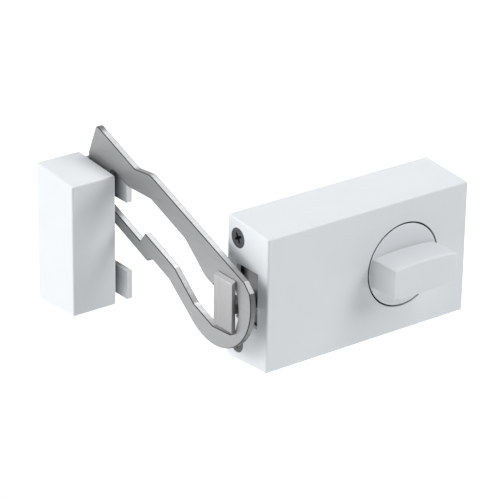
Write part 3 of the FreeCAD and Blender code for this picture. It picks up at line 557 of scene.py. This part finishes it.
def cut_steel(finish):
    """A stamped rim, with fine streaks across the plate's thickness.

    Painted light and shade: it is brightest on the long slopes that face up and forward, and painted darker
    the more it turns away from them. The angle of the way it faces gives its share of the bright colour.
    The rim is also painted darker where it nears the case, and at the bar's tip, as painted shade.
    """
    made, tree, shader, place = new_material("cut_steel")
    shader.inputs["Metallic"].default_value = 0.85
    streaks = noise(tree, place, 2200, 3, (0.05, 1, 1))
    facing = place.node.outputs["Normal"]
    forward = worked(tree, "MULTIPLY", part_of(tree, facing, "Y"), -1)
    angle = worked(tree, "ARCTAN2", part_of(tree, facing, "Z"), forward)
    # Painted light and shade by facing, and painted shade near the case and at the tip
    shares = (
        stepped(tree, angle, [(math.radians(at), grey) for at, grey in RIM_LIGHT_BY_FACING]),
        stepped(tree, part_of(tree, place, "Y"), RIM_SHADE_NEAR_CASE),
        stepped(tree, part_of(tree, place, "Z"), RIM_SHADE_AT_TIP),
    )
    tint(tree, shader, streaks, finish.rim_colour, 0.9, 1.06, shares)
    tree.links.new(spread(tree, streaks, 0.34, 0.48), shader.inputs["Roughness"])
    bump(tree, shader, streaks, 0.00001, 0.3)
    return made


def edge_shade(finish):
    """A dark line on the rounded edge between a brushed face and a stamped rim: a painted reflection of
    dark surroundings.
    """
    made, tree, shader, place = new_material("edge_shade")
    shader.inputs["Metallic"].default_value = 0.8
    tint(tree, shader, noise(tree, place, 500, 3), finish.edge_shade_colour, 0.85, 1.15)
    shader.inputs["Roughness"].default_value = 0.5
    return made


def screw_black(finish):
    """Blackened steel with a dull sheen."""
    made, tree, shader, place = new_material("screw_black")
    shader.inputs["Metallic"].default_value = 0.6
    mottle = noise(tree, place, 900, 3)
    tint(tree, shader, mottle, finish.screw_colour, 0.8, 1.3)
    tree.links.new(spread(tree, mottle, 0.38, 0.52), shader.inputs["Roughness"])
    return made


def shaded_plate(finish):
    """The strike's plate: white paint on its tabs, painted darker towards the back inside the cover as
    painted shade of the narrow gap.
    """
    made, tree, shader, place = new_material("shaded_plate")
    # Painted shade, darker towards the back
    plate_shade = stepped(tree, part_of(tree, place, "Y"), PLATE_SHADE_BACKWARDS)
    tint(tree, shader, noise(tree, place, 300, 3), finish.paint_colour, 0.97, 1.02, (plate_shade,))
    shader.inputs["Roughness"].default_value = 0.48
    shader.inputs["Specular IOR Level"].default_value = 0.4
    bump(tree, shader, noise(tree, place, 1400, 2), 0.00002, 0.25)
    return made


def dark_guide_steel(finish):
    """Rolled steel, dark, with a fine mottle; its dark colour also stands in for the shade inside the
    bolt's slot, as painted shade.
    """
    made, tree, shader, place = new_material("dark_guide_steel")
    shader.inputs["Metallic"].default_value = 0.8
    mottle = noise(tree, place, 420, 4)
    tint(tree, shader, mottle, finish.guide_colour, 0.8, 1.2)
    tree.links.new(spread(tree, mottle, 0.4, 0.55), shader.inputs["Roughness"])
    bump(tree, shader, noise(tree, place, 1800, 2), 0.00001, 0.2)
    return made


def gap_shade_black(finish):
    """Dull black as painted shade: the knob's moulded side and flange, made black so the narrow gap round
    its face reads dark, and the screws' cross recesses.
    """
    made, tree, shader, place = new_material("gap_shade_black")
    tint(tree, shader, noise(tree, place, 600, 2), finish.gap_colour, 0.8, 1.2)
    shader.inputs["Roughness"].default_value = 0.7
    shader.inputs["Specular IOR Level"].default_value = 0.2
    return made


MAKERS = (
    powder_coat, brushed_bar, brushed_bolt, zinc_plate, turned_brass, cut_steel, edge_shade, screw_black,
    shaded_plate, dark_guide_steel, gap_shade_black,
)


def finish_named(name):
    """The finish of that name, made on first use."""
    made = bpy.data.materials.get(name)
    if made is not None:
        return made
    makers = {maker.__name__: maker for maker in MAKERS}
    return makers[name](bpy.context.scene.lock_finishes)


def dress(names, finish):
    """Give CAD nodes a finish through their own material slots."""
    for name in names:
        piece = NODES[name]
        if not piece.material_slots:
            piece.data.materials.append(None)
        for slot in piece.material_slots:
            slot.link = "OBJECT"
            slot.material = finish_named(finish)


# Surfaces

def grid_faces(rows, columns, closed):
    """Faces of a grid of points, row by row. closed joins the last column to the first."""
    row = np.arange(rows - 1)[:, None]
    column = np.arange(columns if closed else columns - 1)[None, :]
    following = (column + 1) % columns
    corners = np.broadcast_arrays(row * columns + column, row * columns + following,
                                  (row + 1) * columns + following, (row + 1) * columns + column)
    return np.stack(corners, -1).reshape(-1, 4)


def merge(mesh, outwards):
    """Merge a mesh's doubles, and turn its faces outwards where that is asked."""
    merged = bmesh.new()
    merged.from_mesh(mesh)
    bmesh.ops.remove_doubles(merged, verts=merged.verts, dist=MERGE_DISTANCE)
    if outwards:
        bmesh.ops.recalc_face_normals(merged, faces=merged.faces)
    merged.to_mesh(mesh)
    merged.free()


def show(name, mesh, finishes, smooth_angle=30):
    """A piece with a mesh and its finishes, smooth but for edges sharper than an angle in degrees."""
    piece = bpy.data.objects.new(name, mesh)
    bpy.context.scene.collection.objects.link(piece)
    mesh.shade_smooth()
    mesh.set_sharp_from_angle(angle=math.radians(smooth_angle))
    for finish in finishes:
        mesh.materials.append(finish_named(finish))
    return piece


def new_mesh(name, points, faces, zones, corner_shade=None):
    """A mesh from points and faces, its doubles merged and its faces turned outwards.

    zones gives each face the number of its finish, and the corner shade, where given, each point its share
    of that painted shade.
    """
    mesh = bpy.data.meshes.new(name)
    mesh.from_pydata(np.asarray(points).tolist(), [], [list(face) for face in faces])
    mesh.polygons.foreach_set("material_index", np.asarray(zones, dtype=np.int32))
    if corner_shade is not None:
        shares = mesh.attributes.new("corner_shade", "FLOAT", "POINT").data
        shares.foreach_set("value", np.asarray(corner_shade, dtype=np.float32))
    merge(mesh, outwards=True)
    return mesh


def eased_copy(node, finish, width):
    """A copy of a CAD node with one finish, merged, with its sharp edges bevelled."""
    mesh = NODES[node].data.copy()
    mesh.materials.clear()
    mesh.polygons.foreach_set("material_index", np.zeros(len(mesh.polygons), dtype=np.int32))
    merge(mesh, outwards=False)
    piece = show(node + "_eased", mesh, [finish])
    bevel = piece.modifiers.new("eased_edges", "BEVEL")
    bevel.width = width
    bevel.segments = 2
    bevel.limit_method = "ANGLE"
    bevel.angle_limit = math.radians(40)
    bevel.harden_normals = True
    return piece


def stand_in(piece, node, body):
    """Put a piece in place of a CAD node, on the same body, and hide the node."""
    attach(piece, body)
    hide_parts(node)


def turned(profile, count, origin, axis, shape):
    """A surface of revolution: a profile of (height along the axis, radius) carried round the axis.

    The point at height h, radius r and angle t is origin + h*axis + r*(cos t * u + sin t * v).
    shape is a function of (height, radius, angle) that returns new heights and radii.
    """
    axis = np.asarray(axis, float)
    u = np.array([0.0, 0.0, 1.0]) if abs(axis[2]) < 0.5 else np.array([1.0, 0.0, 0.0])
    v = np.cross(axis, u)
    heights, radii = np.asarray(profile, float).T
    angle = np.linspace(0, 2 * math.pi, count, endpoint=False)
    height, radius, around = np.broadcast_arrays(heights[:, None], radii[:, None], angle[None, :])
    height, radius = shape(height, radius, around)
    points = (np.asarray(origin, float) + height[..., None] * axis
              + radius[..., None] * (np.cos(around)[..., None] * u + np.sin(around)[..., None] * v))
    return points.reshape(-1, 3), grid_faces(len(heights), count, True)


def smooth_step(value, low, high):
    """0 below low, 1 above high, and 3t^2 - 2t^3 between."""
    share = np.clip((value - low) / (high - low), 0, 1)
    return share * share * (3 - 2 * share)


# Screws

SCREW_HEAD = 4.6 * MM
SCREW_STEM = 2.6 * MM
SCREW_LENGTH = 9.0 * MM
SCREW_FACETS = 160
GROOVE_HALF = 0.34 * MM
GROOVE_WIDENING = 0.3 * MM
GROOVE_WALL = 0.12 * MM
RECESS_BEGINS = 0.25 * MM
THREAD_DEPTH = 0.35 * MM


def screw_surface(origin, axis, details, turn_by):
    """A sunk screw with a cross recess and a thread.

    The head is flat at height 0. Its recess is the deeper of two crossed grooves, each with a depth
    that falls off towards its end and a half width that narrows with it. The stem's radius rises
    and falls with the angle minus the height over the pitch, which winds the thread. Zones: 0 the
    screw, 1 the recess.
    """
    head, stem, tip = SCREW_HEAD, SCREW_STEM, SCREW_LENGTH
    reach = details.recess_reach
    recessed = np.linspace(0, reach * 1.15, 30)
    outside = np.linspace(reach * 1.2, head - 0.1 * MM, 8)
    radii_out = np.concatenate([recessed, outside])
    top = np.stack([np.zeros_like(radii_out), radii_out], 1)
    edge = np.array([[0.03 * MM, head], [head - stem, stem]])
    thread = np.linspace(head - stem + 0.3 * MM, tip - 0.8 * MM, 60)
    shank = np.stack([thread, np.full_like(thread, stem - 0.02 * MM)], 1)
    end = np.array([[tip, 1.6 * MM], [tip, 0.0]])
    profile = np.concatenate([top, edge, shank, end])

    def shape(height, radius, angle):
        round_by = angle + turn_by
        across = np.minimum(np.abs(radius * np.sin(round_by)), np.abs(radius * np.cos(round_by)))
        fall = np.clip(1 - (radius / reach) ** 2, 0, 1)
        half = GROOVE_HALF + GROOVE_WIDENING * fall
        groove = 1 - smooth_step(across, half, half + GROOVE_WALL)
        sunk = details.recess_depth * np.sqrt(fall) * groove
        row = np.arange(height.shape[0])[:, None]
        height = height + np.where(row < len(top), sunk, 0)
        shank_row = row - len(top) - len(edge)
        wave = 0.5 + 0.5 * np.cos(2 * math.pi * height / details.thread_pitch - angle)
        on_thread = (shank_row >= 0) & (shank_row < len(shank))
        return height, radius - np.where(on_thread, THREAD_DEPTH * wave, 0)

    points, faces = turned(profile, SCREW_FACETS, origin, axis, shape)
    depth = ((points - np.asarray(origin)) @ np.asarray(axis, float))[faces].mean(axis=1)
    in_head = np.arange(len(faces)) < (len(top) - 1) * SCREW_FACETS
    return points, faces, (in_head & (depth > RECESS_BEGINS)).astype(int)


def add_screw(node, origin, axis, turn_by, body, details):
    """Make one screw and put it in place of its node."""
    mesh = new_mesh(node + "_cut", *screw_surface(origin, axis, details, turn_by))
    # The cross recess takes the black of painted shade
    stand_in(show(node + "_cut", mesh, ["screw_black", "gap_shade_black"]), node, body)


class LOCK_OT_screws(bpy.types.Operator):
    """Make the five blackened sunk screws, with their cross recesses and threads."""

    bl_idname = "lock.screws"
    bl_label = "Screws"

    def execute(self, context):
        details = context.scene.lock_details
        turns = {"left_upper": 0.5, "left_lower": 0.2, "right_upper": 0.9, "right_lower": 0.35}
        for name, turn_by in turns.items():
            node = "case_screw_" + name
            low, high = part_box(node)
            inward = 1.0 if "left" in name else -1.0
            face = low.x if inward > 0 else high.x
            origin = (face, (low.y + high.y) / 2, (low.z + high.z) / 2)
            add_screw(node, origin, (inward, 0, 0), turn_by, "case", details)
        low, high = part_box("strike_screw")
        origin = ((low.x + high.x) / 2, (low.y + high.y) / 2, low.z)
        add_screw("strike_screw", origin, (0, 0, 1), 0.6, "strike", details)
        return {"FINISHED"}


# Limiter bar

def flat_outlines(node, side):
    """Closed outlines of a solid's flat face that looks along side times X, as arrays of (y, z).

    The material lies on the left of each, so the outer one runs anticlockwise and the holes clockwise.
    """
    merged = bmesh.new()
    merged.from_mesh(NODES[node].data)
    bmesh.ops.remove_doubles(merged, verts=merged.verts, dist=MERGE_DISTANCE)
    away = [face for face in merged.faces if face.normal.x * side < 0.999]
    bmesh.ops.delete(merged, geom=away, context="FACES")
    inner = [edge for edge in merged.edges if not edge.is_boundary]
    bmesh.ops.delete(merged, geom=inner, context="EDGES")
    rim = bpy.data.meshes.new("rim")
    merged.to_mesh(rim)
    merged.free()
    places = np.empty(len(rim.vertices) * 3, dtype=np.float32)
    rim.vertices.foreach_get("co", places)
    across = places.astype(float).reshape(-1, 3)[:, 1:]
    loops = [across[loop[:-1]] for loop in edge_loops_from_edges(rim)]
    bpy.data.meshes.remove(rim)
    areas = [np.sum(loop[:, 0] * np.roll(loop[:, 1], -1) - loop[:, 1] * np.roll(loop[:, 0], -1))
             for loop in loops]
    outer = int(np.argmax(np.abs(areas)))
    return [loop if (area > 0) == (number == outer) else loop[::-1]
            for number, (loop, area) in enumerate(zip(loops, areas))]


def moved_out(loop, reach):
    """An outline moved off its material: each corner along the sum of its two sides' normals."""
    along = np.roll(loop, -1, axis=0) - loop
    along /= np.linalg.norm(along, axis=1)[:, None]
    ahead = np.stack([along[:, 1], -along[:, 0]], 1)
    behind = np.roll(ahead, 1, axis=0)
    share = 1 + np.sum(ahead * behind, axis=1)
    return loop + reach * (ahead + behind) / share[:, None]


def eased_plate(loops, near, far, edge):
    """A flat plate between two X values, with its edges rounded.

    Each outline is carried through a profile: a quarter round, the rim's wall and a second quarter
    round. The two flat faces fill what lies inside. Zones: 0 flat, 1 rim, 2 rounded edge.
    """
    quarter = np.linspace(0, math.pi / 2, 5)
    away, along = edge * (1 - np.sin(quarter)), edge * (1 - np.cos(quarter))
    rows = np.concatenate([np.stack([-away, near + along], 1), np.stack([-along, far - away], 1)])
    zone = np.full(len(rows) - 1, 2)
    zone[len(quarter) - 1] = 1
    points, faces, zones, flats = [], [], [], []
    start = 0
    for loop in loops:
        carried = [np.column_stack([np.full(len(loop), x), moved_out(loop, out)]) for out, x in rows]
        points.append(np.concatenate(carried))
        faces += (start + grid_faces(len(rows), len(loop), True)).tolist()
        zones.append(np.repeat(zone, len(loop)))
        flats.append((start, len(loop), carried[0]))
        start += len(loop) * len(rows)
    filled = np.array(tessellate_polygon([[Vector(point) for point in first] for _, _, first in flats]))
    for step in (0, len(rows) - 1):
        order = np.concatenate([begin + step * count + np.arange(count) for begin, count, _ in flats])
        faces += order[filled].tolist()
        zones.append(np.zeros(len(filled), int))
    return np.concatenate(points), faces, np.concatenate(zones)


class LOCK_OT_bar(bpy.types.Operator):
    """Make the limiter bar with its brushed faces, its cut rims with painted light and shade, and its long
    edges painted dark as a painted reflection.
    """

    bl_idname = "lock.bar"
    bl_label = "Limiter bar"

    def execute(self, context):
        low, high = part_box("guard_bar")
        edge = context.scene.lock_details.bar_edge
        plate = eased_plate(flat_outlines("guard_bar", -1), low.x, high.x, edge)
        mesh = new_mesh("guard_bar_cut", *plate)
        piece = show("guard_bar_cut", mesh, ["brushed_bar", "cut_steel", "edge_shade"], smooth_angle=8)
        stand_in(piece, "guard_bar", "bar")
        dress(["bar_bush"], "turned_brass")
        return {"FINISHED"}


class LOCK_OT_covers(bpy.types.Operator):
    """Paint the case cover, the strike cover and the strike's plate."""

    bl_idname = "lock.covers"
    bl_label = "Covers"

    def execute(self, context):
        dress(["case_cover", "strike_cover"], "powder_coat")
        plate = eased_copy("strike_base", "shaded_plate", context.scene.lock_details.eased_edge)
        stand_in(plate, "strike_base", "strike")
        return {"FINISHED"}


# Knob

SIDE_STEPS = 62
END_STEPS = 18
# Shares of the way from the grip out to the edge of the face
FACE_SHARES = (0.03, 0.07, 0.12, 0.2, 0.3, 0.42, 0.56, 0.7, 0.85, 1)


def grip_outline(inset, details):
    """The grip's outline, drawn in by an inset, as an array of (x, z).

    It is a rectangle with round corners, walked anticlockwise, with half sizes a and b. Then z is
    multiplied by 1 + side_swell / b * (1 - (x / a)^2), and x by 1 + end_swell / a * (1 - (z / b)^2).
    """
    half = np.array([details.grip_half_length, details.grip_half_height]) - inset
    corner = details.grip_corner - inset
    quarter = np.linspace(0, math.pi / 2, 12)
    arcs = []
    for turn, sign in enumerate(((1, 1), (-1, 1), (-1, -1), (1, -1))):
        angle = quarter + turn * math.pi / 2
        arcs.append((half - corner) * sign + corner * np.stack([np.cos(angle), np.sin(angle)], 1))
    walked = []
    for turn, arc in enumerate(arcs):
        share = np.linspace(0, 1, END_STEPS if turn % 2 else SIDE_STEPS)[1:-1, None]
        walked += [arc, arc[-1] + (arcs[(turn + 1) % 4][0] - arc[-1]) * share]
    outline = np.concatenate(walked)
    swell = np.array([details.end_swell, details.side_swell]) / half * (1 - (outline / half) ** 2)[:, ::-1]
    return outline * (1 + swell)


def knob_surface(origin, details):
    """The knob as one skin, from the middle of its grip round to the bottom of its hub's bore.

    Each row is an outline at a height along Y. The grip's rows are its outline with an inset, whose
    front edge and root are quarter rounds. The rows of the face pass from that outline to a circle at
    The corner between grip and face gets painted shade, which falls off as exp(-d / reach), where reach is
    how far it spreads and d is the distance from that corner.
    """
    reach, edge, root = details.grip_reach, details.grip_edge, details.grip_root
    quarter = np.linspace(0, math.pi / 2, 8)
    around = grip_outline(-root, details)
    angle = np.arctan2(around[:, 1], around[:, 0])
    circle = np.stack([np.cos(angle), np.sin(angle)], 1)
    top = grip_outline(edge, details)
    rows = [(-reach, top * share) for share in np.linspace(0.0, 1.0, 9)[:-1]]
    rows += [(-reach + edge * (1 - math.cos(a)), grip_outline(edge * (1 - math.sin(a)), details))
             for a in quarter]
    rows += [(-root * (1 - math.sin(a)), grip_outline(-root * (1 - math.cos(a)), details)) for a in quarter]
    radius, lip = details.face_radius, details.face_lip
    corner = len(rows) - 1
    rows += [(0.0, around * (1 - share) + circle * (radius - lip) * share) for share in FACE_SHARES]
    rows += [(lip * (1 - math.cos(a)), circle * (radius - lip * (1 - math.sin(a)))) for a in quarter[1:]]
    visible = len(rows) - 1
    low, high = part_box("knob")
    flange = (high.x - low.x) / 2
    end = high.y - origin[1]
    back, flange_back = details.face_back, details.face_back + details.flange_thickness
    hub, bore, bottom = details.hub_radius, details.bore_radius, details.bore_start
    rows += [(depth, circle * ring) for depth, ring in (
        (back, radius), (back, flange), (flange_back, flange), (flange_back, hub),
        (end, hub), (end, bore), (bottom, bore), (bottom, 0.0),
    )]
    points = np.stack([np.column_stack([flat[:, 0], np.full(len(flat), depth), flat[:, 1]])
                       for depth, flat in rows])
    # Zone 1, behind the face's lip, takes the black of painted shade for the gap
    zones = np.repeat(np.arange(len(rows) - 1) >= visible, len(circle)).astype(int)
    on_face = np.linalg.norm(points[..., ::2] - around, axis=2)
    away = np.where(np.arange(len(rows))[:, None] <= corner, np.abs(points[..., 1]), on_face)
    # Painted shade, strongest in the corner between grip and face
    corner_shade = np.exp(-away / details.corner_shade_reach).ravel()
    faces = grid_faces(len(rows), len(circle), True)
    return (points + np.asarray(origin)).reshape(-1, 3), faces, zones, corner_shade


class LOCK_OT_knob(bpy.types.Operator):
    """Make the knob, with its rounded grip on a flush round face."""

    bl_idname = "lock.knob"
    bl_label = "Knob"

    def execute(self, context):
        low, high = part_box("knob")
        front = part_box("case_cover")[0].y
        origin = ((low.x + high.x) / 2, front, (low.z + high.z) / 2)
        mesh = new_mesh("knob_skin", *knob_surface(origin, context.scene.lock_details))
        stand_in(show("knob_skin", mesh, ["powder_coat", "gap_shade_black"]), "knob", "knob")
        return {"FINISHED"}


class LOCK_OT_bolt(bpy.types.Operator):
    """Dress the bolt and what drives it."""

    bl_idname = "lock.bolt"
    bl_label = "Bolt"

    def execute(self, context):
        bolt = eased_copy("bolt", "brushed_bolt", context.scene.lock_details.eased_edge)
        stand_in(bolt, "bolt", "bolt")
        dress(["bolt_rack", "pinion", "knob_spindle", "knob_pin", "spindle_clip"], "zinc_plate")
        return {"FINISHED"}


class LOCK_OT_plates(bpy.types.Operator):
    """Dress the base plate, the bolt guide, the bearing and the bar's pivot."""

    bl_idname = "lock.plates"
    bl_label = "Plates and pivot"

    def execute(self, context):
        dress(["base_plate", "guide_rivet_upper", "guide_rivet_lower", "pivot_pin", "pivot_clip",
               "pivot_washer"], "zinc_plate")
        dress(["bolt_guide"], "dark_guide_steel")
        dress(["spindle_bearing"], "turned_brass")
        return {"FINISHED"}


# Studio

FLOOR_HALF = 6.0
FLOOR_GREY = 0.86
FLOOR_LIFT = 0.4
FILM_WIDTH = 36


def rays_behind(tree):
    """1 for camera, mirror and glass rays, and 0 for the rest."""
    path = tree.nodes.new("ShaderNodeLightPath").outputs
    seen = worked(tree, "MAXIMUM", path["Is Camera Ray"], path["Is Glossy Ray"])
    return worked(tree, "MAXIMUM", seen, path["Is Transmission Ray"])


class LOCK_OT_studio(bpy.types.Operator):
    """Set up the pale floor, the soft light and the camera."""

    bl_idname = "lock.studio"
    bl_label = "Studio"

    def execute(self, context):
        studio = context.scene.lock_studio
        self.light(context, studio)
        self.floor(context, studio)
        self.camera(context, studio)
        context.scene.view_settings.view_transform = "Standard"
        return {"FINISHED"}

    def light(self, context, studio):
        """An even sky, white behind the lock, and four soft suns."""
        world = bpy.data.worlds.new("studio_sky")
        context.scene.world = world
        world.use_nodes = True
        tree = world.node_tree
        sky = tree.nodes["Background"]
        sky.inputs["Strength"].default_value = studio.sky_light
        behind = tree.nodes.new("ShaderNodeBackground")
        for glow in (sky, behind):
            glow.inputs["Color"].default_value = (1, 1, 1, 1)
        mix = tree.nodes.new("ShaderNodeMixShader")
        tree.links.new(rays_behind(tree), mix.inputs["Fac"])
        tree.links.new(sky.outputs["Background"], mix.inputs[1])
        tree.links.new(behind.outputs["Background"], mix.inputs[2])
        tree.links.new(mix.outputs["Shader"], tree.nodes["World Output"].inputs["Surface"])
        for name, strength, direction, degrees_wide in (
            ("key", studio.key_light, (-0.68, 0.5, 0.47), 40),
            ("side", studio.side_light, (-0.95, 0.1, 0.25), 40),
            ("fill", studio.fill_light, (0.55, -0.6, 0.5), 30),
            ("top", studio.top_light, (0.4, -0.15, 0.85), 30),
        ):
            lamp = bpy.data.lights.new(name, "SUN")
            lamp.energy = strength
            lamp.angle = math.radians(degrees_wide)
            holder = bpy.data.objects.new(name, lamp)
            context.scene.collection.objects.link(holder)
            holder.rotation_euler = Vector(direction).to_track_quat("Z", "Y").to_euler()

    def floor(self, context, studio):
        """A wide pale floor that stays white behind the lock."""
        corners = [(x * FLOOR_HALF, y * FLOOR_HALF, -studio.floor_drop)
                   for x, y in ((-1, -1), (1, -1), (1, 1), (-1, 1))]
        mesh = bpy.data.meshes.new("floor")
        mesh.from_pydata(corners, [], [(0, 1, 2, 3)])
        floor = bpy.data.objects.new("floor", mesh)
        context.scene.collection.objects.link(floor)
        made, tree, shader, _ = new_material("pale_floor")
        shader.inputs["Base Color"].default_value = (FLOOR_GREY, FLOOR_GREY, FLOOR_GREY, 1)
        shader.inputs["Roughness"].default_value = 0.9
        shader.inputs["Emission Color"].default_value = (1, 1, 1, 1)
        lift = worked(tree, "MULTIPLY", rays_behind(tree), FLOOR_LIFT)
        tree.links.new(lift, shader.inputs["Emission Strength"])
        mesh.materials.append(made)

    def camera(self, context, studio):
        """The camera, at the photograph's angle.

        It stands back from the target by the distance, along (-sin az cos el, -cos az cos el, sin el).
        """
        back = Vector((-math.sin(studio.azimuth) * math.cos(studio.elevation),
                       -math.cos(studio.azimuth) * math.cos(studio.elevation),
                       math.sin(studio.elevation)))
        right = Vector((math.cos(studio.azimuth), -math.sin(studio.azimuth), 0))
        up = back.cross(right)
        rolled_right = right * math.cos(studio.roll) + up * math.sin(studio.roll)
        rolled_up = up * math.cos(studio.roll) - right * math.sin(studio.roll)
        view = bpy.data.cameras.new("camera")
        view.lens = studio.lens
        view.sensor_width = FILM_WIDTH
        view.clip_start = 0.05
        view.clip_end = 50
        holder = bpy.data.objects.new("camera", view)
        context.scene.collection.objects.link(holder)
        turn = Matrix((rolled_right, rolled_up, back)).transposed().to_4x4()
        holder.matrix_world = Matrix.Translation(Vector(studio.target) + back * studio.distance) @ turn
        context.scene.camera = holder


STEPS = (
    LOCK_OT_covers, LOCK_OT_knob, LOCK_OT_bar, LOCK_OT_bolt, LOCK_OT_plates, LOCK_OT_screws, LOCK_OT_studio,
)


class LOCK_PT_sidebar(bpy.types.Panel):
    """Lists the steps and their settings."""

    bl_idname = "LOCK_PT_sidebar"
    bl_label = "Rim Lock"
    bl_space_type = "VIEW_3D"
    bl_region_type = "UI"
    bl_category = "Rim Lock"

    def draw(self, context):
        for group in (context.scene.lock_finishes, context.scene.lock_details, context.scene.lock_studio):
            column = self.layout.column()
            for name in group.__annotations__:
                column.prop(group, name)
        for step in STEPS:
            self.layout.operator(step.bl_idname)


CLASSES = (LockFinishes, LockDetails, LockStudio, *STEPS, LOCK_PT_sidebar)


def register():
    for item in CLASSES:
        bpy.utils.register_class(item)
    bpy.types.Scene.lock_finishes = bpy.props.PointerProperty(type=LockFinishes)
    bpy.types.Scene.lock_details = bpy.props.PointerProperty(type=LockDetails)
    bpy.types.Scene.lock_studio = bpy.props.PointerProperty(type=LockStudio)


def unregister():
    del bpy.types.Scene.lock_studio
    del bpy.types.Scene.lock_details
    del bpy.types.Scene.lock_finishes
    for item in reversed(CLASSES):
        bpy.utils.unregister_class(item)


def main():
    """Build and dress every piece."""
    register()
    bpy.ops.lock.covers()
    bpy.ops.lock.knob()
    bpy.ops.lock.bar()
    bpy.ops.lock.bolt()
    bpy.ops.lock.plates()
    bpy.ops.lock.screws()
    bpy.ops.lock.studio()


if __name__ == "__main__":
    main()
